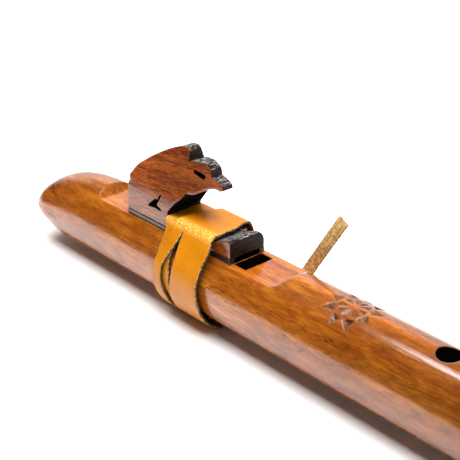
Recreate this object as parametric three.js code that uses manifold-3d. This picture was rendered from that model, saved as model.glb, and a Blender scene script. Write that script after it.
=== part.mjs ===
// Native American style flute: a wooden tube in two glued halves, a carved bear block tied over its nest.
// Millimetres. +X runs along the tube to the foot, the mouth end is at -X, the finger holes face +Z.
// Lengths along the tube are measured from the sound hole's splitting edge, heights from the tube's axis.
import * as THREE from 'three';
import Module from 'manifold-3d';
import { mergeVertices } from 'three/addons/utils/BufferGeometryUtils.js';

const wasm = await Module();
wasm.setup();

// Tube
const tubeRadius = 16;
const boreRadius = 10.5;
const footReach = 352;
const tubeSides = 56;
const boreSides = 40;

// Mouth end: the top slopes over a long stretch, the underside and the sides round in near the tip
const mouthReach = 131;
const mouthTipDrop = 2.5;
const topSlopeLength = 45.8;
const undersideRoundLength = 17.8;
const sideRoundLength = 15;
const topSlopePower = 2.54;
const sideRoundPower = 3;
const mouthStepShares = [0, 0.12, 0.25, 0.38, 0.5, 0.61, 0.7, 0.78, 0.85, 0.905, 0.945, 0.972, 0.989, 0.9975];

// Slow air chamber and the hole that the player blows into
const blowHoleRadius = 3.2;
const blowHoleSides = 20;
const airChamberReach = 108;
const airChamberConeLength = 8;
const plugLength = 13.8;
const exitHoleLength = 7.5;
const exitHoleSetback = 1.5;

// Nest: the flat that the block is tied on, coved at both ends
const nestDepth = 3;
const nestCoveRadius = 5;
const nestMouthReach = 84.4;
const nestFootReach = 14;
const coveSteps = 8;

// Sound hole with its undercut splitting edge
const soundHoleLength = 6.1;
const soundHoleWidth = 13.4;
const splittingEdgeThickness = 0.3;
const undercutRun = 3.4;

// Finger holes, as distances from the splitting edge, and the tuning holes near the foot
const fingerHoleRadius = 4.6;
const fingerHoleSides = 28;
const firstFingerHole = 87.3;
const fingerHoleStep = 25.4;
const handGap = 30;
const holesPerHand = 3;
const footHoleRadius = 2.6;
const footHoleSides = 20;
const footHoleSetback = 36;
const footHolesPerHalf = 2;

// Spacer plate with the flue
const plateThickness = 2;
const plateWidth = 17;
const flueWidth = 12.4;
const seatGap = 0.1;

// Block: the animal stands on the back, the lace lies in the saddle in front of it
const blockBackReach = 67.4;
const blockSetback = 0.4;
const blockWidth = 17;
const blockHeight = 33.5;
const saddleHeight = 4.2;
const saddleFrontReach = 15.6;
const lipHeight = 7.2;
const lipChamfer = 1.1;
const faceLeanStart = 9.9;
const faceLean = 0.25;
const crownHalfWidth = 2.4;
const cheekStartHalfWidth = 6.9;
const cheekHalfWidth = 3.4;
const noseHalfWidth = 2.5;
const cheekLean = 0.11;
const cheekLevel = 22.9;
const eyeLength = 5.6;
const eyeWidth = 1.7;
const eyeTilt = 0.27;
const curveSteps = 6;

// Leather lace
const laceThickness = 1;
const laceLayerGap = 0.5;
const laceSeatGap = 0.35;
const laceEdgeBevel = 0.35;
const laceFlatDepth = 0.5;
const saddleEdgeRadius = 0.3;
const sideArcSteps = 2;
const edgeArcSteps = 3;
const underArcSteps = 14;
const laceTurns = 3;
const knotLength = 13;
const knotDepth = 5.2;
const knotBevel = 1.3;
const jointGap = 0.3;
const tailWidth = 4.6;
const tailThickness = 1.2;
const tailCornerRadius = 0.4;
const uprightTailSteps = 26;
const lyingTailSteps = 20;

// Cuts run past the faces that they open by this much
const overrun = 1;

const nestHeight = tubeRadius - nestDepth;
const plugFootFace = -soundHoleLength;
const plugMouthFace = plugFootFace - plugLength;
const blockSeatHeight = nestHeight + plateThickness + seatGap;
const blockFront = -soundHoleLength - blockSetback;
const blockLength = blockBackReach + blockFront;

// Solids

function signedVolume(positions, triangles) {
  const a = new THREE.Vector3();
  const b = new THREE.Vector3();
  const c = new THREE.Vector3();
  let volume = 0;
  for (let i = 0; i < triangles.length; i += 3) {
    a.fromArray(positions, triangles[i] * 3);
    b.fromArray(positions, triangles[i + 1] * 3);
    c.fromArray(positions, triangles[i + 2] * 3);
    volume += a.dot(b.cross(c)) / 6;
  }
  return volume;
}

function solidOf(geometry) {
  const bare = geometry.clone();
  bare.deleteAttribute('normal');
  bare.deleteAttribute('uv');
  const merged = mergeVertices(bare);
  const positions = merged.attributes.position.array;
  const index = merged.index.array;
  const triangles = [];
  for (let i = 0; i < index.length; i += 3) {
    const [a, b, c] = [index[i], index[i + 1], index[i + 2]];
    if (a !== b && b !== c && c !== a) triangles.push(a, b, c);
  }
  if (signedVolume(positions, triangles) < 0) triangles.reverse();
  return new wasm.Manifold(new wasm.Mesh({
    numProp: 3,
    vertProperties: new Float32Array(positions),
    triVerts: new Uint32Array(triangles),
  }));
}

function geometryOf(solid) {
  const mesh = solid.getMesh();
  const geometry = new THREE.BufferGeometry();
  geometry.setAttribute('position', new THREE.BufferAttribute(mesh.vertProperties, 3));
  geometry.setIndex(new THREE.BufferAttribute(mesh.triVerts, 1));
  geometry.computeVertexNormals();
  return geometry;
}

// Closed body through rings with the same number of points, capped at both ends
function loft(rings) {
  const sides = rings[0].length;
  const positions = rings.flat().flatMap((p) => [p.x, p.y, p.z]);
  const triangles = [];
  for (let r = 0; r + 1 < rings.length; r += 1) {
    for (let s = 0; s < sides; s += 1) {
      const here = r * sides + s;
      const next = r * sides + ((s + 1) % sides);
      triangles.push(here, next, next + sides, here, next + sides, here + sides);
    }
  }
  const last = (rings.length - 1) * sides;
  for (let s = 1; s + 1 < sides; s += 1) {
    triangles.push(0, s + 1, s, last, last + s, last + s + 1);
  }
  const geometry = new THREE.BufferGeometry();
  geometry.setAttribute('position', new THREE.Float32BufferAttribute(positions, 3));
  geometry.setIndex(triangles);
  return geometry;
}

function extruded(shape, depth) {
  return new THREE.ExtrudeGeometry(shape, { depth, bevelEnabled: false, curveSegments: curveSteps });
}

// A side outline in length and height, extruded across the tube and centred on it
function acrossTube(shape, width) {
  const geometry = extruded(shape, width);
  geometry.rotateX(Math.PI / 2);
  geometry.translate(0, width / 2, 0);
  return geometry;
}

// A plan outline in length and breadth, extruded upwards from a height
function upwards(shape, height, from) {
  const geometry = extruded(shape, height);
  geometry.translate(0, 0, from);
  return geometry;
}

// A front outline in breadth and height, extruded along the tube from a place
function alongTube(shape, length, from) {
  const geometry = extruded(shape, length);
  geometry.rotateX(Math.PI / 2);
  geometry.rotateZ(Math.PI / 2);
  geometry.translate(from, 0, 0);
  return geometry;
}

// A body turned about the tube's axis, from places along it and radii
function turned(outline, sides) {
  const points = outline.map(([along, radius]) => new THREE.Vector2(radius, along));
  const geometry = new THREE.LatheGeometry(points, sides);
  geometry.rotateZ(-Math.PI / 2);
  return geometry;
}

function polygon(points) {
  return new THREE.Shape(points.map(([x, y]) => new THREE.Vector2(x, y)));
}

function rectangle(x0, y0, x1, y1) {
  return polygon([[x0, y0], [x1, y0], [x1, y1], [x0, y1]]);
}

// Tube

// The share of its full size that the tube has at a place where it rounds in over a length to the mouth end
function endRounding(place, length, power, root) {
  const share = Math.min(Math.max((length - mouthReach - place) / length, 0), 1);
  return Math.pow(1 - Math.pow(share, power), 1 / root);
}

function tubeRing(place) {
  const tip = -mouthTipDrop;
  const top = tip + (tubeRadius - tip) * endRounding(place, topSlopeLength, topSlopePower, 2);
  const under = tip - (tubeRadius + tip) * endRounding(place, undersideRoundLength, 1, 2);
  const half = tubeRadius * endRounding(place, sideRoundLength, sideRoundPower, sideRoundPower);
  const ring = [];
  for (let s = 0; s < tubeSides; s += 1) {
    const turn = ((s + 0.5) / tubeSides) * 2 * Math.PI;
    const height = (top + under) / 2 + ((top - under) / 2) * Math.cos(turn);
    ring.push(new THREE.Vector3(place, half * Math.sin(turn), height));
  }
  return ring;
}

function tubeOutside() {
  const rings = mouthStepShares.map((share) => tubeRing(-mouthReach + topSlopeLength * (1 - share)));
  return solidOf(loft([...rings.reverse(), tubeRing(footReach)]));
}

function soundChamber() {
  return solidOf(turned([
    [plugFootFace, 0],
    [plugFootFace, boreRadius],
    [footReach + overrun, boreRadius],
    [footReach + overrun, 0],
  ], boreSides));
}

function airChamber() {
  const chamber = solidOf(turned([
    [-airChamberReach, 0],
    [-airChamberReach, blowHoleRadius],
    [-airChamberReach + airChamberConeLength, boreRadius],
    [plugMouthFace, boreRadius],
    [plugMouthFace, 0],
  ], boreSides));
  const blowHole = turned([
    [-mouthReach - overrun, 0],
    [-mouthReach - overrun, blowHoleRadius],
    [-airChamberReach + airChamberConeLength, blowHoleRadius],
    [-airChamberReach + airChamberConeLength, 0],
  ], blowHoleSides);
  blowHole.translate(0, 0, -mouthTipDrop);
  return chamber.add(solidOf(blowHole));
}

function exitHole() {
  const front = plugMouthFace - exitHoleSetback;
  const outline = rectangle(front - exitHoleLength, 0, front, tubeRadius + overrun);
  return solidOf(acrossTube(outline, flueWidth));
}

function nest() {
  const cove = nestCoveRadius;
  const sweep = Math.acos((cove - nestDepth) / cove);
  const outline = new THREE.Shape();
  const top = tubeRadius + overrun;
  const run = cove * Math.sin(sweep);
  outline.moveTo(-nestMouthReach, nestHeight);
  outline.lineTo(nestFootReach, nestHeight);
  outline.absarc(nestFootReach, nestHeight + cove, cove, -Math.PI / 2, -Math.PI / 2 + sweep, false);
  outline.lineTo(nestFootReach + run, top);
  outline.lineTo(-nestMouthReach - run, top);
  outline.absarc(-nestMouthReach, nestHeight + cove, cove, -Math.PI / 2 - sweep, -Math.PI / 2, false);
  const geometry = new THREE.ExtrudeGeometry(outline, {
    depth: 2 * tubeRadius,
    bevelEnabled: false,
    curveSegments: coveSteps,
  });
  geometry.rotateX(Math.PI / 2);
  geometry.translate(0, tubeRadius, 0);
  return solidOf(geometry);
}

// The edge is thin at the nest floor and the wood below it is cut away towards the foot
function soundHole() {
  const outline = polygon([
    [-soundHoleLength, 0],
    [undercutRun, 0],
    [undercutRun, boreRadius - overrun],
    [0, nestHeight - splittingEdgeThickness],
    [0, nestHeight + overrun],
    [-soundHoleLength, nestHeight + overrun],
  ]);
  return solidOf(acrossTube(outline, soundHoleWidth));
}

function fingerHoles() {
  const holes = [];
  for (let hand = 0; hand < 2; hand += 1) {
    for (let finger = 0; finger < holesPerHand; finger += 1) {
      const drill = tubeRadius + overrun;
      const geometry = new THREE.CylinderGeometry(fingerHoleRadius, fingerHoleRadius, drill, fingerHoleSides);
      geometry.rotateX(Math.PI / 2);
      const handSpan = (holesPerHand - 1) * fingerHoleStep + handGap;
      geometry.translate(firstFingerHole + hand * handSpan + finger * fingerHoleStep, 0, drill / 2);
      holes.push(solidOf(geometry));
    }
  }
  return holes;
}

function footHoles() {
  const holes = [];
  for (let s = 0; s < 2 * footHolesPerHalf; s += 1) {
    const drill = tubeRadius + overrun;
    const geometry = new THREE.CylinderGeometry(footHoleRadius, footHoleRadius, drill, footHoleSides);
    geometry.rotateX(Math.PI / 2);
    geometry.translate(footReach - footHoleSetback, 0, drill / 2);
    geometry.rotateX(((s + 0.5) / footHolesPerHalf) * Math.PI);
    holes.push(solidOf(geometry));
  }
  return holes;
}

function bodyHalves() {
  let body = tubeOutside().subtract(soundChamber()).subtract(airChamber());
  for (const cut of [nest(), exitHole(), soundHole(), ...fingerHoles(), ...footHoles()]) {
    body = body.subtract(cut);
  }
  const reach = tubeRadius + overrun;
  const upperSide = rectangle(-mouthReach - overrun, 0, footReach + overrun, reach);
  const lowerSide = rectangle(-mouthReach - overrun, -reach, footReach + overrun, 0);
  return {
    upper: body.intersect(solidOf(acrossTube(upperSide, 2 * reach))),
    lower: body.intersect(solidOf(acrossTube(lowerSide, 2 * reach))),
  };
}

// Spacer plate: its open slot carries the air from the exit hole to the sound hole

function spacerPlate() {
  const slotEnd = plugMouthFace - exitHoleSetback - exitHoleLength;
  const outline = polygon([
    [-blockBackReach, -plateWidth / 2],
    [blockFront, -plateWidth / 2],
    [blockFront, -flueWidth / 2],
    [slotEnd, -flueWidth / 2],
    [slotEnd, flueWidth / 2],
    [blockFront, flueWidth / 2],
    [blockFront, plateWidth / 2],
    [-blockBackReach, plateWidth / 2],
  ]);
  return solidOf(upwards(outline, plateThickness, nestHeight));
}

// Block: places are shares of the block's length and height from its back lower corner

const backShares = [[0.062, 0.565], [0.125, 0.655], [0.2, 0.75], [0.332, 0.89], [0.448, 0.979], [0.506, 1]];
const furShares = [[0, 0.325], [0.013, 0.369], [0, 0.417]];
const earShares = [[0.529, 0.964], [0.537, 0.851]];
const browShares = [[0.585, 0.878], [0.632, 0.887], [0.678, 0.881], [0.719, 0.833], [0.726, 0.759]];
const muzzleShares = [[0.78, 0.732], [0.823, 0.705], [0.824, 0.652], [0.801, 0.634]];
const jawShares = [[0.765, 0.643], [0.706, 0.61], [0.67, 0.568], [0.601, 0.5], [0.557, 0.491]];
const chestShares = [[0.532, 0.432], [0.476, 0.339], [0.411, 0.202]];
const chestFootShare = 0.406;
const eyeShare = [0.636, 0.754];
const markShares = [
  [0.215, 0.169], [0.226, 0.193], [0.283, 0.285], [0.313, 0.295], [0.312, 0.322], [0.328, 0.357],
  [0.341, 0.367], [0.339, 0.338], [0.324, 0.282], [0.304, 0.23], [0.311, 0.212], [0.331, 0.205],
  [0.351, 0.181], [0.341, 0.164], [0.323, 0.169], [0.28, 0.173], [0.225, 0.161],
];
const cheekFromShare = 0.485;
const cheekMidShare = 0.68;

function onBlock([along, up]) {
  return new THREE.Vector2(-blockBackReach + along * blockLength, blockSeatHeight + up * blockHeight);
}

const saddleBack = onBlock([chestFootShare, 0]).x;
const saddleLength = -saddleFrontReach - saddleBack;

function blockOutline() {
  const outline = new THREE.Shape();
  const go = (share) => {
    const point = onBlock(share);
    outline.lineTo(point.x, point.y);
  };
  const start = onBlock([0, 0]);
  const saddle = blockSeatHeight + saddleHeight;
  const lip = blockSeatHeight + lipHeight;
  outline.moveTo(start.x, start.y);
  furShares.forEach(go);
  outline.splineThru(backShares.map(onBlock));
  earShares.forEach(go);
  outline.splineThru(browShares.map(onBlock));
  muzzleShares.forEach(go);
  outline.splineThru(jawShares.map(onBlock));
  outline.splineThru(chestShares.map(onBlock));
  outline.lineTo(saddleBack, saddle);
  outline.lineTo(-saddleFrontReach, saddle);
  outline.lineTo(blockFront - lipChamfer, lip);
  outline.lineTo(blockFront, lip - lipChamfer / 2);
  outline.lineTo(blockFront, blockSeatHeight);
  return outline;
}

// Upright sides that lean in towards a narrow crown
function blockFrontOutline() {
  const half = blockWidth / 2;
  const leanFrom = blockSeatHeight + faceLeanStart;
  const leanTo = leanFrom + (half - crownHalfWidth) / faceLean;
  const top = blockSeatHeight + blockHeight + overrun;
  return polygon([
    [-half, blockSeatHeight - overrun],
    [half, blockSeatHeight - overrun],
    [half, leanFrom],
    [crownHalfWidth, leanTo],
    [crownHalfWidth, Math.max(top, leanTo + overrun)],
    [-crownHalfWidth, Math.max(top, leanTo + overrun)],
    [-crownHalfWidth, leanTo],
    [-half, leanFrom],
  ]);
}

// What is carved away beside the muzzle: its walls lean in a little above the cheek's level
function cheekCut(side) {
  const from = onBlock([cheekFromShare, 0]).x;
  const middle = onBlock([cheekMidShare, 0]).x;
  const nose = onBlock(muzzleShares[1]).x;
  const floor = onBlock(jawShares[4]).y - jointGap;
  const ringAt = (height) => {
    const wider = cheekLean * (blockSeatHeight + cheekLevel - height);
    return [
      [from, cheekStartHalfWidth + wider],
      [middle, cheekHalfWidth + wider],
      [nose, noseHalfWidth + wider],
      [nose + overrun, noseHalfWidth + wider],
      [nose + overrun, blockWidth],
      [from, blockWidth],
    ].map(([x, half]) => new THREE.Vector3(x, side * half, height));
  };
  return solidOf(loft([ringAt(floor), ringAt(blockSeatHeight + blockHeight + overrun)]));
}

function eyeCut() {
  const radius = eyeWidth / 2;
  const half = eyeLength / 2 - radius;
  const outline = new THREE.Shape();
  outline.absarc(half, 0, radius, -Math.PI / 2, Math.PI / 2, false);
  outline.absarc(-half, 0, radius, Math.PI / 2, (3 * Math.PI) / 2, false);
  const geometry = acrossTube(outline, blockWidth + 2 * overrun);
  geometry.rotateY(eyeTilt);
  const place = onBlock(eyeShare);
  geometry.translate(place.x, 0, place.y);
  return solidOf(geometry);
}

// A fret cut with three arms
function markCut() {
  return solidOf(acrossTube(new THREE.Shape(markShares.map(onBlock)), blockWidth + 2 * overrun));
}

function bearBlock() {
  let block = solidOf(acrossTube(blockOutline(), blockWidth));
  const front = alongTube(blockFrontOutline(), blockLength + 2 * overrun, -blockBackReach - overrun);
  block = block.intersect(solidOf(front));
  for (const cut of [cheekCut(1), cheekCut(-1), eyeCut(), markCut()]) {
    block = block.subtract(cut);
  }
  return block;
}

// Lace: the closed path that a turn follows, round the tube and over the saddle, as stations with a place,
// an outward direction and a share of the way round. It starts at the knot on the far side and climbs.

function laceStations() {
  const edge = saddleEdgeRadius;
  const edgeCentre = new THREE.Vector2(blockWidth / 2 - edge, blockSeatHeight + saddleHeight - edge);
  const reach = edgeCentre.length();
  const tangent = Math.atan2(edgeCentre.x, edgeCentre.y) + Math.acos((tubeRadius - edge) / reach);
  const stations = [];
  const onCircle = (centre, radius, angle) => {
    const out = new THREE.Vector2(Math.sin(angle), Math.cos(angle));
    stations.push({ place: centre.clone().addScaledVector(out, radius), out });
  };
  const arc = (centre, radius, from, to, steps) => {
    for (let i = 0; i <= steps; i += 1) onCircle(centre, radius, from + ((to - from) * i) / steps);
  };
  const axis = new THREE.Vector2(0, 0);
  arc(axis, tubeRadius, Math.PI / 2, tangent, sideArcSteps);
  arc(edgeCentre, edge, tangent, 0, edgeArcSteps);
  arc(new THREE.Vector2(-edgeCentre.x, edgeCentre.y), edge, 0, -tangent, edgeArcSteps);
  arc(axis, tubeRadius, -tangent, (-3 * Math.PI) / 2, underArcSteps);
  let way = 0;
  stations.forEach((station, i) => {
    if (i > 0) way += station.place.distanceTo(stations[i - 1].place);
    station.way = way;
  });
  stations.forEach((station) => { station.share = station.way / way; });
  return stations;
}

// Turns of the winding, each with a share of the saddle's length: the lace's centre line from the saddle's
// back, and its width, which is never less than the tails'
const lacePlaceShares = [
  [0.04, 0.43], [0.1, 0.25], [0.19, 0.2], [0.345, 0.21], [0.38, 0.238], [0.46, 0.218], [0.524, 0.262],
  [0.8, 0.27], [0.95, 0.36], [1.067, 0.55], [1.19, 0.505], [1.27, 0.37], [1.345, 0.382], [1.52, 0.2],
  [1.55, 0.2], [1.611, 0.235], [1.86, 0.2], [1.93, 0.4], [2, 0.68], [2.067, 0.79], [2.19, 0.8],
  [2.27, 0.76], [2.345, 0.786], [2.39, 0.782], [2.44, 0.768], [2.58, 0.775], [2.78, 0.72], [2.9, 0.62],
  [2.96, 0.468],
];
const laceWidthShares = [
  [0.1, 0.17], [0.19, 0.39], [0.345, 0.377], [0.38, 0.295], [0.46, 0.265], [0.524, 0.28], [0.8, 0.27],
  [0.95, 0.2], [1.067, 0.18], [1.27, 0.17], [1.345, 0.205], [1.52, 0.17], [1.55, 0.18], [1.611, 0.2],
  [1.77, 0.22], [2.067, 0.2], [2.19, 0.366], [2.27, 0.57], [2.345, 0.547], [2.39, 0.585], [2.44, 0.54],
  [2.507, 0.525], [2.58, 0.6], [2.65, 0.64], [2.74, 0.6], [2.86, 0.34], [2.9, 0.25], [2.96, 0.17],
];

// Turns of the winding, each with the number of layers of lace that it lies over
const laceLayers = [
  [0.07, 2], [0.17, 0], [1, 0], [1.06, 1], [2.8, 1], [2.9, 2],
];
const knotShare = 0.45;

// A value between the pairs of a list, eased in and out
function atTurn(pairs, turn) {
  const last = pairs.length - 1;
  if (turn <= pairs[0][0]) return pairs[0][1];
  if (turn >= pairs[last][0]) return pairs[last][1];
  const i = pairs.findIndex(([t]) => t >= turn);
  const [t0, v0] = pairs[i - 1];
  const [t1, v1] = pairs[i];
  return THREE.MathUtils.lerp(v0, v1, THREE.MathUtils.smoothstep(turn, t0, t1));
}

// Every station of the winding, from the one above the knot to the one below it
function laceWinding() {
  const stations = laceStations();
  const winding = [];
  for (let turn = 0; turn < laceTurns; turn += 1) {
    stations.forEach((station, i) => {
      const joined = turn > 0 && i === 0;
      const beforeKnot = turn === 0 && i < 1;
      const afterKnot = turn === laceTurns - 1 && i === stations.length - 1;
      if (joined || beforeKnot || afterKnot) return;
      const t = turn + station.share;
      winding.push({
        turn: t,
        place: station.place,
        out: station.out,
        along: saddleBack + atTurn(lacePlaceShares, t) * saddleLength,
        width: Math.max(atTurn(laceWidthShares, t) * saddleLength, tailWidth),
        lift: laceSeatGap + atTurn(laceLayers, t) * (laceThickness + laceLayerGap),
      });
    });
  }
  return winding;
}

// Six corners of the lace at a station: flat underneath, its upper edges bevelled
function laceCorners({ place, out, along, width, lift }) {
  const at = (aside, up) => {
    const point = place.clone().addScaledVector(out, lift + up);
    return new THREE.Vector3(along + aside, point.x, point.y);
  };
  const half = width / 2;
  const shoulder = laceThickness - laceEdgeBevel;
  return [
    at(-half, 0),
    at(half, 0),
    at(half, shoulder),
    at(half - laceEdgeBevel, laceThickness),
    at(-half + laceEdgeBevel, laceThickness),
    at(-half, shoulder),
  ];
}

// The least distance between points of the lace that lie more than half a turn apart
function leastGapToItself(winding) {
  const crossSteps = 12;
  const wayParts = 3;
  const samples = [];
  for (let i = 0; i + 1 < winding.length; i += 1) {
    const here = laceCorners(winding[i]);
    const next = laceCorners(winding[i + 1]);
    for (let part = 0; part < wayParts; part += 1) {
      const share = part / wayParts;
      const ring = here.map((corner, c) => corner.clone().lerp(next[c], share));
      const turn = THREE.MathUtils.lerp(winding[i].turn, winding[i + 1].turn, share);
      for (let step = 0; step <= crossSteps; step += 1) {
        samples.push({ turn, point: ring[0].clone().lerp(ring[1], step / crossSteps) });
        samples.push({ turn, point: ring[4].clone().lerp(ring[3], step / crossSteps) });
      }
      samples.push({ turn, point: ring[2] });
      samples.push({ turn, point: ring[5] });
    }
  }
  let least = Infinity;
  for (let i = 0; i < samples.length; i += 1) {
    for (let j = i + 1; j < samples.length; j += 1) {
      if (Math.abs(samples[i].turn - samples[j].turn) > 0.5) {
        least = Math.min(least, samples[i].point.distanceToSquared(samples[j].point));
      }
    }
  }
  return Math.sqrt(least);
}

const winding = laceWinding();

// The lowest layer is pressed flat where the instrument lies on it
function laceWrap() {
  const wrap = solidOf(loft(winding.map(laceCorners)));
  const reach = tubeRadius + laceSeatGap + 2 * laceThickness + laceLayerGap;
  const pressed = rectangle(-blockBackReach, -reach - overrun, 0, -reach + laceFlatDepth);
  return wrap.subtract(solidOf(acrossTube(pressed, 2 * reach)));
}

// Knot on the far side, between the first and the last station of the winding
const knotPlace = saddleBack + knotShare * saddleLength;
const knotTop = laceCorners(winding[0])[0].z - jointGap;
const knotBottom = laceCorners(winding[winding.length - 1])[0].z + jointGap;
const knotInnerFace = tubeRadius + laceSeatGap + 2 * (laceThickness + laceLayerGap);

function laceKnot() {
  const left = knotPlace - knotLength / 2 + knotBevel;
  const right = knotPlace + knotLength / 2 - knotBevel;
  const bottom = knotBottom + knotBevel;
  const top = knotTop - knotBevel;
  const middle = (bottom + top) / 2;
  const run = (right - left) / 4;
  const rise = (top - bottom) / 4;
  const outline = new THREE.Shape();
  outline.moveTo(left, bottom + rise);
  outline.quadraticCurveTo(left, bottom, left + run, bottom);
  outline.lineTo(right - run, bottom);
  outline.quadraticCurveTo(right, bottom, right, middle);
  outline.quadraticCurveTo(right, top, right - run, top);
  outline.lineTo(left + run, top);
  outline.quadraticCurveTo(left, top, left, top - rise);
  const geometry = new THREE.ExtrudeGeometry(outline, {
    depth: knotDepth - 2 * knotBevel,
    bevelEnabled: true,
    bevelThickness: knotBevel,
    bevelSize: knotBevel,
    bevelSegments: 3,
    curveSegments: 4,
  });
  geometry.rotateX(Math.PI / 2);
  geometry.translate(0, knotInnerFace + knotDepth - knotBevel, 0);
  return solidOf(geometry);
}

// Free ends of the lace: hand-laid centre lines from the knot's foot side, with the turn of the flat side
const tailExit = knotPlace + knotLength / 2 + jointGap;
const uprightRoute = [
  [tailExit, 21, -2.4], [-19, 21, -2.7], [-15.5, 21, -3.6], [-12.2, 21, -4.7], [-8.1, 20.9, -5.4],
  [-4, 20.7, -4.7], [-0.4, 20.5, -2.6], [2.1, 20.3, 0.2], [5.7, 20, 5.9], [12, 20, 16], [18, 20, 25.5],
  [22.1, 20, 32],
];
const uprightTurns = [[0, 90], [1, 90]];
const lyingRoute = [
  [tailExit, 22.7, 0.2], [-19, 22.8, 0.1], [-14, 22.5, 0.3], [-9, 20.9, 1.1], [-4, 18.6, 2.4],
  [1, 17.1, 3.9], [7, 16.3, 5], [15, 16, 5.6], [23, 16, 5.6], [30, 16, 5.6],
];
const lyingTurns = [[0, 90], [0.15, 90], [0.6, 71], [1, 71]];

function tailCorners() {
  const half = tailWidth / 2;
  const thick = tailThickness / 2;
  const cut = tailCornerRadius;
  return [
    [-half + cut, -thick], [half - cut, -thick], [half, -thick + cut], [half, thick - cut],
    [half - cut, thick], [-half + cut, thick], [-half, thick - cut], [-half, -thick + cut],
  ];
}

function laceTail(route, turns, steps) {
  const points = route.map(([x, y, z]) => new THREE.Vector3(x, y, z));
  const curve = new THREE.CatmullRomCurve3(points, false, 'centripetal');
  const rings = [];
  for (let i = 0; i <= steps; i += 1) {
    const place = curve.getPointAt(i / steps);
    const along = curve.getTangentAt(i / steps);
    const angle = THREE.MathUtils.degToRad(atTurn(turns, i / steps));
    const out = new THREE.Vector3(0, Math.sin(angle), Math.cos(angle));
    const aside = new THREE.Vector3().crossVectors(along, out).normalize();
    out.crossVectors(aside, along).normalize();
    const corner = ([a, t]) => place.clone().addScaledVector(aside, a).addScaledVector(out, t);
    rings.push(tailCorners().map(corner));
  }
  return solidOf(loft(rings));
}

// Scene graph

function material(color, roughness) {
  return new THREE.MeshStandardMaterial({ color, roughness, metalness: 0 });
}

function addPiece(group, name, solid, look) {
  const mesh = new THREE.Mesh(geometryOf(solid), look);
  mesh.name = name;
  group.add(mesh);
}

const halves = bodyHalves();
const instrument = new THREE.Group();
addPiece(instrument, 'upper_body_half', halves.upper, material(0xa85a22, 0.3));
addPiece(instrument, 'lower_body_half', halves.lower, material(0x9c5220, 0.3));
addPiece(instrument, 'spacer_plate', spacerPlate(), material(0x1c1614, 0.35));
addPiece(instrument, 'bear_block', bearBlock(), material(0x7d3a1e, 0.35));
addPiece(instrument, 'lace_wrap', laceWrap(), material(0xe0962a, 0.5));

// The origin lies under the middle of the instrument without its knot, on the surface that it lies on
const box = new THREE.Box3().setFromObject(instrument, true);
const middle = box.getCenter(new THREE.Vector3());

const tie = new THREE.Group();
const uprightTail = laceTail(uprightRoute, uprightTurns, uprightTailSteps);
const lyingTail = laceTail(lyingRoute, lyingTurns, lyingTailSteps);
addPiece(tie, 'lace_knot', laceKnot(), material(0xd08a28, 0.6));
addPiece(tie, 'lace_tail_upright', uprightTail, material(0xb87a3c, 0.85));
addPiece(tie, 'lace_tail_lying', lyingTail, material(0xc98530, 0.7));

const flute = new THREE.Group();
flute.add(instrument, tie);
flute.position.set(-middle.x, -middle.y, -box.min.z);
console.log(`least gap of the lace to itself ${leastGapToItself(winding).toFixed(3)} mm`);

export default flute;
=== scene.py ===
"""A native American style flute on a white table: wooden tube, carved block and leather lace, built round
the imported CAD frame. Helpers work in millimetres in the tube's own frame, X along the axis from the
splitting edge of the sound hole to the foot and Z up. row() turns such a point into the frame's metres."""

from math import acos, atan2, cos, pi, radians, sin, sqrt

import bmesh
import bpy
import numpy as np
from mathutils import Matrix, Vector, noise
from mathutils.geometry import delaunay_2d_cdt

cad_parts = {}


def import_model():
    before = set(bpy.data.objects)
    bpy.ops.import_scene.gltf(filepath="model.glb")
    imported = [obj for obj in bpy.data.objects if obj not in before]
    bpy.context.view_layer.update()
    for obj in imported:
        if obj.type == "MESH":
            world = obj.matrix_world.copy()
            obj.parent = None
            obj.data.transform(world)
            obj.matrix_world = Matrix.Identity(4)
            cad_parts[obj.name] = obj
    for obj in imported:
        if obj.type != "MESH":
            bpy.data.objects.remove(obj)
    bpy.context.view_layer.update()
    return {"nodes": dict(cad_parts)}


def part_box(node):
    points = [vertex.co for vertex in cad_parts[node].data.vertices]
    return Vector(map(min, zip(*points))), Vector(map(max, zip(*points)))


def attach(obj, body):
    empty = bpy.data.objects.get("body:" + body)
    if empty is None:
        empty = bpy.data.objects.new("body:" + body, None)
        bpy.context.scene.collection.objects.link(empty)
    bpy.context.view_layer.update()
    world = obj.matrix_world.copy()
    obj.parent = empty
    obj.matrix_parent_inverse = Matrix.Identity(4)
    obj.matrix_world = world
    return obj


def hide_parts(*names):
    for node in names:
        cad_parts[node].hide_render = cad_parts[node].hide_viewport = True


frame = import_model()

MM = 0.001

# Tube
TUBE_RADIUS = 16.0
BORE_RADIUS = 10.5
FOOT_REACH = 352.0
MOUTH_REACH = 131.0
MOUTH_TIP_DROP = 2.5
TOP_SLOPE_LENGTH = 45.8
TOP_SLOPE_POWER = 2.54
UNDERSIDE_ROUND_LENGTH = 17.8
SIDE_ROUND_LENGTH = 15.0
SIDE_ROUND_POWER = 3.0
BLOW_HOLE_RADIUS = 3.2
AIR_CHAMBER_REACH = 108.0
AIR_CHAMBER_CONE_LENGTH = 8.0
PLUG_LENGTH = 13.8
EXIT_HOLE_LENGTH = 7.5
EXIT_HOLE_SETBACK = 1.5
NEST_DEPTH = 3.0
NEST_COVE_RADIUS = 5.0
NEST_MOUTH_REACH = 84.4
NEST_FOOT_REACH = 14.0
SOUND_HOLE_LENGTH = 6.1
SOUND_HOLE_WIDTH = 13.4
SPLITTING_EDGE_THICKNESS = 0.3
UNDERCUT_RUN = 3.4
FINGER_HOLE_RADIUS = 4.6
FIRST_FINGER_HOLE = 87.3
FINGER_HOLE_STEP = 25.4
HANDS = 2
HAND_GAP = 30.0
HOLES_PER_HAND = 3
FOOT_HOLE_COUNT = 4
FOOT_HOLE_RADIUS = 2.6
FOOT_HOLE_SETBACK = 36.0
FLUE_WIDTH = 12.4
FLUE_LEDGE = 0.35
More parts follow.
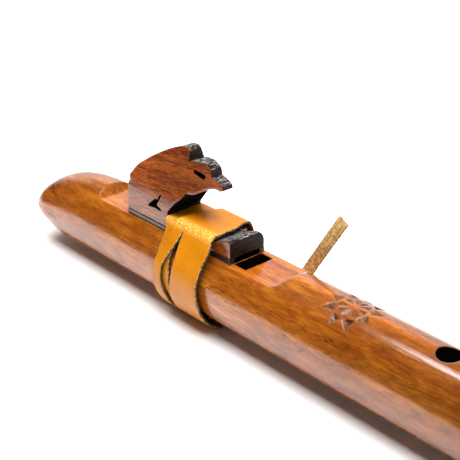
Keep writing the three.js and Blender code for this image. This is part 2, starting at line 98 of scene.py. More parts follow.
FLUE_TRACK_DEPTH = 0.1

# Block
PLATE_THICKNESS = 2.0
SEAT_GAP = 0.1
BLOCK_BACK_REACH = 67.4
BLOCK_SETBACK = 0.4
BLOCK_WIDTH = 17.0
BLOCK_HEIGHT = 33.5
SADDLE_HEIGHT = 4.2
SADDLE_FRONT_REACH = 15.6
LIP_HEIGHT = 7.2
LIP_CHAMFER = 1.1
FACE_LEAN_START = 9.9
FACE_LEAN = 0.25
CHEEK_START_HALF_WIDTH = 6.9
CHEEK_HALF_WIDTH = 3.4
NOSE_HALF_WIDTH = 2.5
CHEEK_LEAN = 0.11
CHEEK_LEVEL = 22.9

CHEST_FOOT_SHARE = 0.406
CHEEK_FROM_SHARE = 0.485
CHEEK_MID_SHARE = 0.68
EYE_SHARE = (0.636, 0.754)
EYE_TILT = 0.27
EYE_LENGTH = 5.6

# Leather lace
LACE_THICKNESS = 1.0
LACE_LAYER_GAP = 0.5
LACE_SEAT_GAP = 0.35
SADDLE_EDGE_RADIUS = 0.3
LACE_TURNS = 3
KNOT_LENGTH = 13.0
JOINT_GAP = 0.3
TAIL_WIDTH = 4.6
TAIL_THICKNESS = 1.2

NEST_HEIGHT = TUBE_RADIUS - NEST_DEPTH
PLUG_MOUTH_FACE = -SOUND_HOLE_LENGTH - PLUG_LENGTH
BLOCK_SEAT = NEST_HEIGHT + PLATE_THICKNESS + SEAT_GAP
BLOCK_FRONT = -SOUND_HOLE_LENGTH - BLOCK_SETBACK
BLOCK_LENGTH = BLOCK_BACK_REACH + BLOCK_FRONT

upper_low, upper_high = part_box("upper_body_half")
AXIS = Vector((upper_high.x - FOOT_REACH * MM, (upper_low.y + upper_high.y) / 2, upper_low.z))


def row(point):
    """A point of the tube's frame in millimetres, as a point of the row frame in metres."""
    return AXIS + Vector(point) * MM


def new_object(name, data):
    obj = bpy.data.objects.new(name, data)
    bpy.context.scene.collection.objects.link(obj)
    return obj


# Camera

CAMERA_PLACE = (270.6, -253.5, 207.4)
CAMERA_YAW = radians(48.51)
CAMERA_PITCH = radians(25.96)
SENSOR_WIDTH = 36.0
IMAGE_WIDTH = 460
FOCAL_PIXELS = 1152.6
NEAREST_SEEN = 10.0

camera_data = bpy.data.cameras.new("camera")
camera_data.sensor_width = SENSOR_WIDTH
camera_data.lens = FOCAL_PIXELS / IMAGE_WIDTH * SENSOR_WIDTH
camera_data.clip_start = NEAREST_SEEN * MM
camera = new_object("camera", camera_data)
camera.location = row(CAMERA_PLACE)
camera.rotation_euler = (pi / 2 - CAMERA_PITCH, 0, CAMERA_YAW)
bpy.context.scene.camera = camera


# Meshes

CURVE_PARTS = 24


def mesh_object(name, points, faces, materials, kinds):
    """A mesh object from points in the tube's frame, with a material's index for each face."""
    mesh = bpy.data.meshes.new(name)
    mesh.from_pydata([row(p) for p in points], [], faces)
    for material in materials:
        mesh.materials.append(material)
    mesh.polygons.foreach_set("material_index", np.array(kinds, np.int32))
    mesh.validate()
    mesh.update()
    return new_object(name, mesh)


def smooth(obj, angle):
    obj.data.shade_smooth()
    obj.data.set_sharp_from_angle(angle=radians(angle))


def face_outwards(obj):
    """Turns the faces of a closed mesh outwards."""
    shape = bmesh.new()
    shape.from_mesh(obj.data)
    bmesh.ops.recalc_face_normals(shape, faces=shape.faces)
    shape.to_mesh(obj.data)
    shape.free()


def all_round(sides):
    """Evenly spaced angles of a whole turn."""
    return [2 * pi * side / sides for side in range(sides)]


def loft(rings):
    """Points and faces through rings with the same number of points, with closed ends."""
    sides = len(rings[0])
    points = [p for ring in rings for p in ring]
    faces = []
    for r in range(len(rings) - 1):
        for s in range(sides):
            a = r * sides + s
            b = r * sides + (s + 1) % sides
            faces.append((a, b, b + sides, a + sides))
    faces.append(tuple(reversed(range(sides))))
    faces.append(tuple(range((len(rings) - 1) * sides, len(rings) * sides)))
    return points, faces


def way_along(line):
    """The way along a line up to each of its points."""
    return np.concatenate([[0], np.cumsum(np.linalg.norm(np.diff(line, axis=0), axis=1))])


def catmull_rom(points, steps):
    """A smooth line through the points, with its own points evenly spaced."""
    pts = [np.array(p, float) for p in points]
    pts = [2 * pts[0] - pts[1], *pts, 2 * pts[-1] - pts[-2]]
    line = []
    for i in range(1, len(pts) - 2):
        p0, p1, p2, p3 = pts[i - 1:i + 3]
        for t in np.arange(CURVE_PARTS) / CURVE_PARTS:
            line.append(0.5 * (2 * p1 + (p2 - p0) * t + (2 * p0 - 5 * p1 + 4 * p2 - p3) * t ** 2
                               + (3 * p1 - p0 - 3 * p2 + p3) * t ** 3))
    line = np.array([*line, pts[-2]])
    way = way_along(line)
    wanted = np.linspace(0, way[-1], steps + 1)
    return np.stack([np.interp(wanted, way, line[:, k]) for k in range(line.shape[1])], axis=1)


def at_turn(pairs, turn):
    """A value between the pairs of a list, eased in and out."""
    turns, values = zip(*pairs)
    at = np.interp(turn, turns, range(len(turns)))
    i = min(int(at), len(turns) - 2)
    share = at - i
    return values[i] + (values[i + 1] - values[i]) * share * share * (3 - 2 * share)


# Node materials

ROUNDING_SAMPLES = 6


class Nodes:
    """Short calls that add nodes to a tree."""

    def __init__(self, tree):
        self.tree = tree

    def add(self, kind, inputs, **settings):
        """A shader node with its settings, and a value or another node's socket for each input."""
        node = self.tree.nodes.new("ShaderNode" + kind)
        for key, value in settings.items():
            setattr(node, key, value)
        for key, value in inputs.items():
            self.put(node.inputs[key], value)
        return node

    def put(self, socket, value):
        """Sets a socket's value, or links another node's socket to it."""
        if isinstance(value, bpy.types.NodeSocket):
            self.tree.links.new(value, socket)
        else:
            socket.default_value = value

    def math(self, operation, a, b):
        return self.add("Math", {0: a, 1: b}, operation=operation).outputs[0]

    def times(self, *values):
        """The product of values."""
        product = values[-1]
        for value in reversed(values[:-1]):
            product = self.math("MULTIPLY", value, product)
        return product

    def component(self, vector, axis):
        return self.add("SeparateXYZ", {0: vector}).outputs[axis]


class Look(Nodes):
    """A material with a principled shader."""

    def __init__(self, name):
        self.material = bpy.data.materials.new(name)
        self.material.use_nodes = True
        super().__init__(self.material.node_tree)
        self.shader = next(n for n in self.tree.nodes if n.type == "BSDF_PRINCIPLED")
        self.place = self.add("TexCoord", {}).outputs["Object"]

    def noise(self, scale, detail=3.0, roughness=0.55, distortion=0.0, turn=(0, 0, 0), place=None):
        """Noise at the object's coordinates, turned, then multiplied by a scale for each axis, per metre."""
        turned_place = self.add("Mapping", {"Vector": place or self.place, "Rotation": turn})
        inputs = {0: turned_place.outputs[0], 1: scale}
        scaled = self.add("VectorMath", inputs, operation="MULTIPLY")
        inputs = {"Vector": scaled.outputs[0], "Scale": 1.0, "Detail": detail, "Roughness": roughness}
        return self.add("TexNoise", {**inputs, "Distortion": distortion}).outputs["Fac"]

    def ramp(self, factor, stops):
        node = self.add("ValToRGB", {"Fac": factor})
        elements = node.color_ramp.elements
        while len(elements) < len(stops):
            elements.new(0.5)
        for element, (position, color) in zip(elements, stops):
            element.position = position
            element.color = (color, color, color, 1) if isinstance(color, float) else (*color, 1)
        return node.outputs["Color"]

    def blend(self, *parts):
        """The sum of values, each times its share."""
        total = self.times(*parts[-1])
        for part in reversed(parts[:-1]):
            total = self.math("ADD", self.times(*part), total)
        return total

    def mix(self, factor, a, b, blend="MIX"):
        node = self.add("Mix", {}, data_type="RGBA", blend_type=blend)
        self.put(node.inputs["Factor"], factor)
        for key, value in ((6, a), (7, b)):
            self.put(node.inputs[key], value if isinstance(value, bpy.types.NodeSocket) else (*value, 1))
        return node.outputs[2]

    def along_tube(self, stops):
        """A value that changes along the tube, from pairs of place in millimetres and value."""
        reach = MOUTH_REACH + FOOT_REACH
        start = row((-MOUTH_REACH, 0, 0)).x
        way = self.math("SUBTRACT", self.component(self.place, 0), start)
        stops = [((place + MOUTH_REACH) / reach, float(value)) for place, value in stops]
        return self.ramp(self.math("DIVIDE", way, reach * MM), stops)

    def plain_normal(self):
        return self.add("NewGeometry", {}).outputs["Normal"]

    def by_slope(self, stops):
        """A value that changes as a surface turns up, from pairs of the normal's height and value."""
        return self.ramp(self.component(self.plain_normal(), 2), stops)

    def attribute(self, name):
        return self.add("Attribute", {}, attribute_name=name).outputs["Fac"]

    def bump(self, height, strength, distance, normal=None):
        """Normals for a height that rises by a distance in millimetres."""
        node = self.add("Bump", {"Strength": strength, "Distance": distance * MM, "Height": height})
        if normal is not None:
            self.put(node.inputs["Normal"], normal)
        return node.outputs[0]

    def rounded(self, radius):
        """Normals that round the edges off within a radius in millimetres."""
        return self.add("Bevel", {"Radius": radius * MM}, samples=ROUNDING_SAMPLES).outputs[0]

    def finish(self, color, roughness, normal=None, **inputs):
        """The material, with these and other inputs of its shader set."""
        self.put(self.shader.inputs["Base Color"], color)
        self.put(self.shader.inputs["Roughness"], roughness)
        if normal is not None:
            self.put(self.shader.inputs["Normal"], normal)
            self.put(self.shader.inputs["Coat Normal"], normal)
        for key, value in inputs.items():
            self.shader.inputs[key.replace("_", " ").title().replace("Ior", "IOR")].default_value = value
        return self.material


def grained(name, grain, stops, roughness, relief=None, rounding=None, **inputs):
    """A material whose one noise sets its colour, and its relief by a strength and a height."""
    look = Look(name)
    value = look.noise(*grain)
    normal = look.rounded(rounding) if rounding else None
    if relief:
        normal = look.bump(value, *relief, normal)
    return look.finish(look.ramp(value, stops), roughness, normal, **inputs)


LACQUER = dict(specular_ior_level=0.05, coat_weight=1.0, coat_roughness=0.1, coat_ior=1.64)
BLOCK_LACQUER = dict(LACQUER, coat_roughness=0.15, coat_ior=1.6)
WOOD_BRIGHTNESS = 1.36
GRAIN_SLANT = radians(5.5)


def lacquered_wood():
    """The tube: mottled wood with bands and clusters of short dark flecks, with painted shading along it and
    by slope, under gloss lacquer.
    """
    look = Look("lacquered_wood")
    fibres = look.noise((150, 1500, 1500), 4, 0.7, 0.4)
    bands = look.noise((9, 170, 170), 4, 0.6, 0.7)
    mottles = look.noise((60, 220, 220), 5, 0.7, 0.6)
    color = look.ramp(look.blend((fibres, 0.3), (bands, 0.3), (mottles, 0.4)), [
        (0.38, (0.085, 0.015, 0.0015)),
        (0.45, (0.21, 0.05, 0.004)),
        (0.52, (0.3, 0.079, 0.005)),
        (0.6, (0.45, 0.145, 0.013)),
    ])
    # Painted light and shade: the colour darkens toward the foot as painted shade for the light falling off,
    # lightens or darkens with how the surface faces up, and a painted shade darkens the upper flanks from the
    # sun on.
    painted_shading = look.along_tube([(-131, 0.85), (-70, 0.88), (-10, 0.92), (45, 0.84), (105, 0.62), (352, 0.55)])
    painted_slope_shading = look.by_slope([
        (0.0, 1.0), (0.3, 0.85), (0.42, 0.72), (0.5, 0.72), (0.8, 0.6), (0.985, 0.62), (1.0, 0.95),
    ])
    flank = look.by_slope([(0.2, 0.0), (0.36, 1.0), (0.52, 1.0), (0.68, 0.0)])
    shade = look.times(look.along_tube([(40, 0), (60, 0.27)]), flank)
    painted_shading = look.times(painted_shading, painted_slope_shading, WOOD_BRIGHTNESS, look.math("SUBTRACT", 1.0, shade))
    color = look.mix(1.0, color, painted_shading, "MULTIPLY")
    fleck = look.times(
        look.ramp(look.noise((240, 2000, 2000), 2, 0.6), [(0.36, 0.9), (0.43, 0.0)]),
        look.ramp(look.noise((22, 150, 150), 2), [(0.42, 0.1), (0.56, 1.0)]),
        look.along_tube([(-70, 0), (-40, 1), (60, 1), (100, 0.3)]),
    )
    color = look.mix(fleck, color, (0.05, 0.012, 0.004))
    edges = look.mix(look.by_slope([(0.1, 0.0), (0.3, 1.0)]), look.plain_normal(), look.rounded(1.4))
    normal = look.bump(look.noise((45, 900, 900), 4, 0.6), 0.2, 0.3, edges)
    return look.finish(color, 0.45, normal, **LACQUER)


def carved_wood():
    """The chip cuts: a darker brown than the tube, under thinner lacquer."""
    stops = [(0.35, (0.035, 0.012, 0.006)), (0.6, (0.15, 0.055, 0.02))]
    return grained("carved_wood", ((150, 900, 900), 4), stops, 0.4, (0.35, 0.4), 0.5,
                   specular_ior_level=0.1, coat_weight=0.6, coat_roughness=0.1)


def painted_bore_shade():
    """Holes and bore: near black inside, painted shade."""
    stops = [(0.3, (0.002, 0.0015, 0.001)), (0.7, (0.006, 0.004, 0.003))]
    return grained("painted_bore_shade", ((300, 900, 900), 4), stops, 1.0, specular_ior_level=0.0)


def plate_wood():
    """The spacer plate: blackened wood with a satin coat."""
    stops = [(0.3, (0.006, 0.005, 0.005)), (0.7, (0.02, 0.017, 0.016))]
    return grained("plate_wood", ((60, 900, 900), 4), stops, 0.35, (0.1, 0.2), 0.3,
                   specular_ior_level=0.4, coat_weight=0.6, coat_roughness=0.12)


def block_wood():
    """The block's faces: reddish wood with grain that slants down to the front."""
    look = Look("block_wood")
    slant = (0, GRAIN_SLANT, 0)
    fibres = look.noise((170, 900, 2200), 5, 0.7, 0.3, slant)
    bands = look.noise((25, 60, 210), distortion=0.9, turn=slant)
    color = look.ramp(look.blend((fibres, 0.6), (bands, 0.4)), [
        (0.4, (0.09, 0.018, 0.004)),
        (0.47, (0.21, 0.04, 0.006)),
        (0.53, (0.35, 0.072, 0.008)),
        (0.6, (0.5, 0.125, 0.015)),
    ])
    pores = look.noise((380, 1400, 3600), 2, 0.7, turn=slant)
    color = look.mix(look.ramp(pores, [(0.35, 0.75), (0.44, 0.0)]), color, (0.05, 0.012, 0.005))
    color = look.mix(1.0, color, look.along_tube([(-58, 1.0), (-50, 0.68), (-42, 0.63)]), "MULTIPLY")
    normal = look.bump(look.noise((90, 400, 420), 5, 0.6, 0.6, slant), 0.3, 0.4, look.rounded(0.3))
    return look.finish(color, 0.45, normal, **BLOCK_LACQUER)


def black_wood():
    """The block's burnt contour: black with tool marks across, with painted grey highlight speckles where it
    faces up.
    """
    look = Look("black_wood")
    marks = look.noise((900, 260, 900), 4, 0.6)
    sparkle_noise = look.noise((1500, 620, 1500), 4, 0.75)
    color = look.ramp(marks, [(0.35, (0.003, 0.0015, 0.001)), (0.65, (0.022, 0.008, 0.004))])
    # Painted highlights: grey speckles on the faces that turn up, standing in for glints of the lamp on the
    # gloss.
    upward = look.by_slope([(0.5, 0.0), (0.95, 1.0)])
    painted_highlights = look.times(look.ramp(sparkle_noise, [(0.5, 0.0), (0.62, 0.75)]), upward)
    color = look.mix(painted_highlights, color, (0.42, 0.4, 0.4))
    normal = look.bump(look.blend((marks, 0.5), (sparkle_noise, 0.5)), 0.8, 0.6, look.rounded(0.4))
    return look.finish(color, 0.5, normal, specular_ior_level=0.1, coat_weight=0.12, coat_roughness=0.1)


def charred_wood():
    """The block's hollow front, charred and left without lacquer."""
    stops = [(0.35, (0.003, 0.0025, 0.002)), (0.7, (0.012, 0.009, 0.008))]
    return grained("charred_wood", ((900, 260, 900), 4, 0.6), stops, 1.0, (0.5, 0.5), specular_ior_level=0.0)


def lace_leather():
    """The lace's smooth side: warm yellow, with fine lines along it, and a painted pale highlight in sparkles
    where it bends over the saddle.
    """
    look = Look("lace_leather")
    inputs = {0: look.attribute("along"), 1: look.attribute("across")}
    on_strip = look.add("CombineXYZ", inputs).outputs[0]
    lines = look.noise((40, 900, 1), place=on_strip)
    patches = look.noise((110, 110, 110))
    grain = look.noise((2200, 2200, 2200))
    color = look.ramp(look.blend((lines, 0.12), (patches, 0.45), (grain, 0.43)), [
        (0.38, (0.41, 0.13, 0.001)),
        (0.5, (0.48, 0.16, 0.0012)),
        (0.62, (0.54, 0.19, 0.002)),
    ])
    # Painted highlight: pale yellow sparkles along the bend, standing in for the lamp's glint on the leather.
    highlight_sparkle = look.noise((2400, 1000, 1), 4, 0.8, place=on_strip)
    painted_bend_highlight = look.times(look.attribute("bend_highlight"), look.ramp(highlight_sparkle, [(0.45, 0.0), (0.6, 1.0)]))
    color = look.mix(painted_bend_highlight, color, (0.95, 0.62, 0.16))
    normal = look.bump(look.blend((lines, 0.35), (grain, 0.65)), 0.25, 0.3)
    return look.finish(color, 0.3, normal, specular_ior_level=0.28)


def leather_edge_and_underside_shade():
    """Cut edges: dark brown fibres. The same dark brown on the inner face of the lace and of the knot's
    passes is painted shade under the strip.
    """
    stops = [(0.4, (0.02, 0.009, 0.004)), (0.52, (0.08, 0.038, 0.015)), (0.66, (0.35, 0.2, 0.1))]
    return grained("leather_edge_and_underside_shade", ((1400, 1400, 1400), 4, 0.7), stops, 0.9, (0.8, 0.4),
                   specular_ior_level=0.1)


def leather_rim():
    """The arris between a cut edge and the smooth side: pale fibres with dark gaps."""
    stops = [(0.4, (0.05, 0.025, 0.01)), (0.5, (0.3, 0.16, 0.06)), (0.62, (0.75, 0.5, 0.26))]
    return grained("leather_rim", ((1700, 1700, 1700), 3, 0.7), stops, 0.9, specular_ior_level=0.1)


def suede():
    """The flesh side: napped tan leather."""
    stops = [(0.4, (0.34, 0.17, 0.04)), (0.5, (0.72, 0.43, 0.12)), (0.62, (0.88, 0.64, 0.28))]
    return grained("suede", ((1250, 1250, 1250), 3, 0.7), stops, 0.9, (0.6, 0.4),
                   specular_ior_level=0.2, sheen_weight=0.3)


WOOD = lacquered_wood()
CARVED = carved_wood()
BORE_SHADE = painted_bore_shade()
PLATE = plate_wood()
BLOCK = block_wood()
BLACK = black_wood()
CHARRED = charred_wood()
LEATHER = lace_leather()
EDGE_AND_UNDERSIDE_SHADE = leather_edge_and_underside_shade()
RIM = leather_rim()
SUEDE = suede()


# Flat leather strips

OUTER_FACE, CUT_EDGE, INNER_FACE, ARRIS = 0, 1, 2, 3
RAG = 0.1
RAGS_PER_MM = 0.9
RAG_SPREAD = 7.3
RAG_LEVEL = 2.1
FACE_FALL = 0.05
EDGE_FLARES = (0.16, 0.1, 0.04)
EDGE_FOOT = 0.08
INNER_SETBACK = 0.1
CORNER_SHARE = 0.3
EDGE_ROUND = 0.25
STRIP_SMOOTH_ANGLE = 50


def strip(name, centres, outs, widths, thickness, materials, columns, edge_round=EDGE_ROUND, asides=None):
    """A flat strip along centres, which lie on its underside, with an outward direction and a width for each.
    Its materials are those of its outer face, cut edges, inner face and arrises."""
    centres, outs = np.array(centres, float), np.array(outs, float)
    if asides is None:
        tangents = np.gradient(centres, axis=0)
        tangents /= np.linalg.norm(tangents, axis=1)[:, None]
        asides = np.cross(outs, tangents)
        asides /= np.linalg.norm(asides, axis=1)[:, None]
        outs = np.cross(tangents, asides)
    way = way_along(centres)
    rings, across, along = [], [], []
    for i, centre in enumerate(centres):
        rags = [RAG * noise.noise((way[i] * RAGS_PER_MM, side * RAG_SPREAD, RAG_LEVEL)) for side in (-1, 1)]
        ring = []
        for aside, out in strip_section(widths[i] / 2, thickness, columns, edge_round):
            aside += rags[0] if aside < 0 else rags[1]
            ring.append(centre + asides[i] * aside + outs[i] * out)
            across.append(aside * MM)
            along.append(way[i] * MM)
        rings.append(ring)
    kinds = strip_kinds(columns) * (len(rings) - 1) + [CUT_EDGE, CUT_EDGE]
    obj = mesh_object(name, *loft(rings), materials, kinds)
    smooth(obj, STRIP_SMOOTH_ANGLE)
    point_values(obj, "across", across)
    point_values(obj, "along", along)
    return obj


def point_values(obj, key, values):
    """Stores a value for each point of a mesh, for its material."""
    attribute = obj.data.attributes.new(key, "FLOAT", "POINT")
    attribute.data.foreach_set("value", np.array(values, np.float32))


def strip_section(half, thickness, columns, edge_round):
    """Closed outline of a strip: up its cut edge, over its outer face, down the other edge and back under."""
    outer = [(a, thickness - FACE_FALL * (a / half) ** 4)
             for a in np.linspace(half - edge_round, -half + edge_round, columns)]
    inner = [(a, 0.0) for a in np.linspace(-half + INNER_SETBACK, half - INNER_SETBACK, columns // 2)]
    foot, middle, top = EDGE_FLARES
    corner = edge_round * CORNER_SHARE
    right = [
        (half + foot, EDGE_FOOT),
        (half + middle, thickness / 2),
        (half + top, thickness - edge_round),
        (half - corner, thickness - corner),
    ]
    left = [(-a, t) for a, t in reversed(right)]
    return right + outer + left + inner


def strip_kinds(columns):
    """The material of each face round a strip, in the order of its section."""
    outer = [OUTER_FACE] * (columns - 1)
    inner = [INNER_FACE] * (columns // 2 - 1)
    return [CUT_EDGE] * 2 + [ARRIS] * 2 + outer + [ARRIS] * 2 + [CUT_EDGE] * 3 + inner + [CUT_EDGE]


# Lace tails: the routes of the CAD, repeated

SADDLE_BACK = -BLOCK_BACK_REACH + CHEST_FOOT_SHARE * BLOCK_LENGTH
SADDLE_LENGTH = -SADDLE_FRONT_REACH - SADDLE_BACK
KNOT_PLACE_SHARE = 0.45
KNOT_PLACE = SADDLE_BACK + KNOT_PLACE_SHARE * SADDLE_LENGTH
TAIL_EXIT = KNOT_PLACE + KNOT_LENGTH / 2 + JOINT_GAP
UPRIGHT_ROUTE = [
    (TAIL_EXIT, 21, -2.4), (-19, 21, -2.7), (-15.5, 21, -3.6), (-12.2, 21, -4.7), (-8.1, 20.9, -5.4),
    (-4, 20.7, -4.7), (-0.4, 20.5, -2.6), (2.1, 20.3, 0.2), (5.7, 20, 5.9), (12, 20, 16), (18, 20, 25.5),
    (22.1, 20, 32),
]
UPRIGHT_TURNS = [(0, 90), (1, 90)]
LYING_ROUTE = [
    (TAIL_EXIT, 22.7, 0.2), (-19, 22.8, 0.1), (-14, 22.5, 0.3), (-9, 20.9, 1.1), (-4, 18.6, 2.4),
    (1, 17.1, 3.9), (7, 16.3, 5), (15, 16, 5.6), (23, 16, 5.6), (30, 16, 5.6),
]
LYING_TURNS = [(0, 90), (0.15, 90), (0.6, 71), (1, 71)]
TAIL_STEPS = 90
TAIL_COLUMNS = 8


def place_tails():
    for name, route, turns, materials, slot in (
        ("tail_upright", UPRIGHT_ROUTE, UPRIGHT_TURNS, (SUEDE, RIM, SUEDE, SUEDE), "lace_suede"),
        ("tail_lying", LYING_ROUTE, LYING_TURNS, (LEATHER, EDGE_AND_UNDERSIDE_SHADE, SUEDE, RIM), "lace_leather"),
    ):
        middle = catmull_rom(route, TAIL_STEPS)
        angles = [radians(at_turn(turns, i / TAIL_STEPS)) for i in range(TAIL_STEPS + 1)]
        outs = np.array([(0, sin(a), cos(a)) for a in angles])
        tail = strip(name, middle - outs * TAIL_THICKNESS / 2, outs, [TAIL_WIDTH] * len(outs),
                     TAIL_THICKNESS, materials, TAIL_COLUMNS)
        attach(tail, "tied_block")
        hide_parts("lace_" + name)


place_tails()


# Knot on the far side: the lace bunched up, with two passes of it crossing on the outside

KNOT_REACH = np.array([6.7, 2.8, 4.5])
KNOT_CENTRE = np.array([KNOT_PLACE, 21.95, -0.28])
KNOT_SQUARENESS = 3.2
KNOT_RINGS = 18
KNOT_SIDES = 36
KNOT_END_TURN = 86
KNOT_SMOOTH_ANGLE = 60
KNOT_PASSES = [(52, 0), (-38, 1)]
PASS_TURNS = (-12, 192)
PASS_STEPS = 60
PASS_WIDTH = 4.2
PASS_SINK = 0.1
PASS_COLUMNS = 12
PASS_EDGE_ROUND = 0.28


def on_knot(direction):
    """The place on the bunched lace in a direction from its middle, and the outward direction there."""
    direction = np.array(direction) / np.linalg.norm(direction)
    reach = (np.abs(direction / KNOT_REACH) ** KNOT_SQUARENESS).sum() ** (-1 / KNOT_SQUARENESS)
    place = direction * reach
    out = np.sign(place) * np.abs(place / KNOT_REACH) ** (KNOT_SQUARENESS - 1) / KNOT_REACH
    return KNOT_CENTRE + place, out / np.linalg.norm(out)


def knot():
    rings = []
    for lift in np.radians(np.linspace(KNOT_END_TURN, -KNOT_END_TURN, KNOT_RINGS)):
        level = cos(lift)
        rings.append([on_knot((level * cos(a), sin(lift), level * sin(a)))[0]
                      for a in all_round(KNOT_SIDES)])
    points, faces = loft(rings)
    pieces = [mesh_object("knot_core", points, faces, (LEATHER,), [0] * len(faces))]
    smooth(pieces[0], KNOT_SMOOTH_ANGLE)
    for tilt, layer in KNOT_PASSES:
        along, up = cos(radians(tilt)), sin(radians(tilt))
        stations = [on_knot((cos(a) * along, sin(a), cos(a) * up))
                    for a in np.radians(np.linspace(*PASS_TURNS, PASS_STEPS))]
        centres = [place + out * (layer * LACE_THICKNESS - PASS_SINK) for place, out in stations]
        pieces.append(strip("knot_pass", centres, [out for _, out in stations], [PASS_WIDTH] * PASS_STEPS,
                            # The inner face takes the dark edge leather: painted shade under the strip.
                            LACE_THICKNESS, (LEATHER, EDGE_AND_UNDERSIDE_SHADE, EDGE_AND_UNDERSIDE_SHADE, RIM), PASS_COLUMNS, PASS_EDGE_ROUND))
    for piece in pieces:
        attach(piece, "tied_block")
        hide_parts("lace_knot")


knot()


# Lace: three turns round the tube and over the saddle

LACE_PLACE_SHARES = [
    (0.04, 0.43), (0.1, 0.25), (0.19, 0.2), (0.345, 0.21), (0.38, 0.238), (0.46, 0.218), (0.524, 0.262),
    (0.8, 0.27), (0.95, 0.36), (1.067, 0.55), (1.19, 0.505), (1.27, 0.37), (1.345, 0.382), (1.52, 0.2),
    (1.55, 0.2), (1.611, 0.235), (1.86, 0.2), (1.93, 0.4), (2, 0.68), (2.067, 0.79), (2.19, 0.8),
    (2.27, 0.76), (2.345, 0.786), (2.39, 0.782), (2.44, 0.768), (2.58, 0.775), (2.78, 0.72), (2.9, 0.62),
    (2.96, 0.468),
]
LACE_WIDTH_SHARES = [
    (0.1, 0.17), (0.19, 0.39), (0.345, 0.377), (0.38, 0.295), (0.46, 0.265), (0.524, 0.28), (0.8, 0.27),
    (0.95, 0.2), (1.067, 0.18), (1.27, 0.17), (1.345, 0.205), (1.52, 0.17), (1.55, 0.18), (1.611, 0.2),
    (1.77, 0.22), (2.067, 0.2), (2.19, 0.366), (2.27, 0.57), (2.345, 0.547), (2.39, 0.585), (2.44, 0.54),
    (2.507, 0.525), (2.58, 0.6), (2.65, 0.64), (2.74, 0.6), (2.86, 0.34), (2.9, 0.25), (2.96, 0.17),
]
LACE_LAYERS = [(0.07, 2), (0.17, 0), (1, 0), (1.06, 1), (2.8, 1), (2.9, 2)]
LAP_SHARES = [(2.12, 0), (2.2, 0.06), (2.34, 0.06), (2.37, 0)]
# Painted highlight along each turn's near top bend: shares of a turn and the highlight's strength.
BEND_HIGHLIGHT_SHARES = [(0.32, 0), (0.338, 0.25), (0.347, 0.75), (0.355, 0.1), (0.37, 0)]
LACE_COLUMNS = 24
ARC_STEPS = (4, 10, 10, 56)
STRAIGHT_STEPS = (8, 14, 8)
ROUNDING = 1e-9


def lace_stations():
    """The closed path of a turn: places and outward directions, each with its share of the way."""
    edge = SADDLE_EDGE_RADIUS
    centre = np.array([BLOCK_WIDTH / 2 - edge, BLOCK_SEAT + SADDLE_HEIGHT - edge])
    tangent = atan2(*centre) + acos((TUBE_RADIUS - edge) / np.linalg.norm(centre))
    axis = np.zeros(2)
    arcs = [
        (axis, TUBE_RADIUS, pi / 2, tangent),
        (centre, edge, tangent, 0),
        (centre * (-1, 1), edge, 0, -tangent),
        (axis, TUBE_RADIUS, -tangent, -1.5 * pi),
    ]
    places, outs = [], []
    for arc, (middle, radius, start, end) in enumerate(arcs):
        angles = np.linspace(start, end, ARC_STEPS[arc] + 1)
        arc_outs = np.stack([np.sin(angles), np.cos(angles)], axis=1)
        arc_places = middle + arc_outs * radius
        if arc > 0:
            shares = np.linspace(0, 1, STRAIGHT_STEPS[arc - 1] + 1)[1:-1, None]
            between = outs[-1] + (arc_outs[0] - outs[-1]) * shares
            places.extend(places[-1] + (arc_places[0] - places[-1]) * shares)
            outs.extend(between / np.linalg.norm(between, axis=1)[:, None])
        places.extend(arc_places)
        outs.extend(arc_outs)
    way = way_along(np.array(places))
    return np.array(places), np.array(outs), way / way[-1]


def lace_wrap():
    places, outs, shares = lace_stations()
    centres, normals, widths, bend_highlights = [], [], [], []
    for turn in range(LACE_TURNS):
        for i, share in enumerate(shares):
            t = turn + share
            if (turn > 0 and i == 0) or t < shares[1] or t > LACE_TURNS - 1 + shares[-2] + ROUNDING:
                continue
            lift = LACE_SEAT_GAP + at_turn(LACE_LAYERS, t) * (LACE_THICKNESS + LACE_LAYER_GAP)
            lap = at_turn(LAP_SHARES, t) * SADDLE_LENGTH
            x = SADDLE_BACK + at_turn(LACE_PLACE_SHARES, t) * SADDLE_LENGTH - lap / 2
            centres.append((x, *(places[i] + outs[i] * lift)))
            normals.append((0, *outs[i]))
            widths.append(max(at_turn(LACE_WIDTH_SHARES, t) * SADDLE_LENGTH, TAIL_WIDTH) + lap)
            bend_highlights += [at_turn(BEND_HIGHLIGHT_SHARES, share)] * len(strip_kinds(LACE_COLUMNS))
    # The inner face takes the dark edge leather: painted shade under the strip.
    wrap = strip("lace", centres, normals, widths, LACE_THICKNESS, (LEATHER, EDGE_AND_UNDERSIDE_SHADE, EDGE_AND_UNDERSIDE_SHADE, RIM), LACE_COLUMNS,
                 asides=np.tile((1.0, 0.0, 0.0), (len(centres), 1)))
    point_values(wrap, "bend_highlight", bend_highlights)
    return wrap


lace = lace_wrap()
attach(lace, "tied_block")
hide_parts("lace_wrap")


# Tube: the two glued halves, cut from one turned and hollowed body

TUBE_SIDES = 256
BORE_SIDES = 128
MOUTH_RINGS = 56
MOUTH_CROWDING = 1.4
MOUTH_START = 0.02
STRAIGHT_FROM = -60.0
STRAIGHT_RINGS = 16
COVE_STEPS = 20
FINGER_HOLE_SIDES = 72
SMALL_HOLE_SIDES = 48
WOOD_SMOOTH_ANGLE = 25
OVERRUN = 1.0
WOOD_SLOT, BORE_SHADE_SLOT, CARVED_SLOT = 0, 1, 2


def end_rounding(place, length, power, root):
    """The share of its full size that the tube has where it rounds in to the mouth end."""
    share = min(max((length - MOUTH_REACH - place) / length, 0.0), 1.0)
    return (1 - share ** power) ** (1 / root)


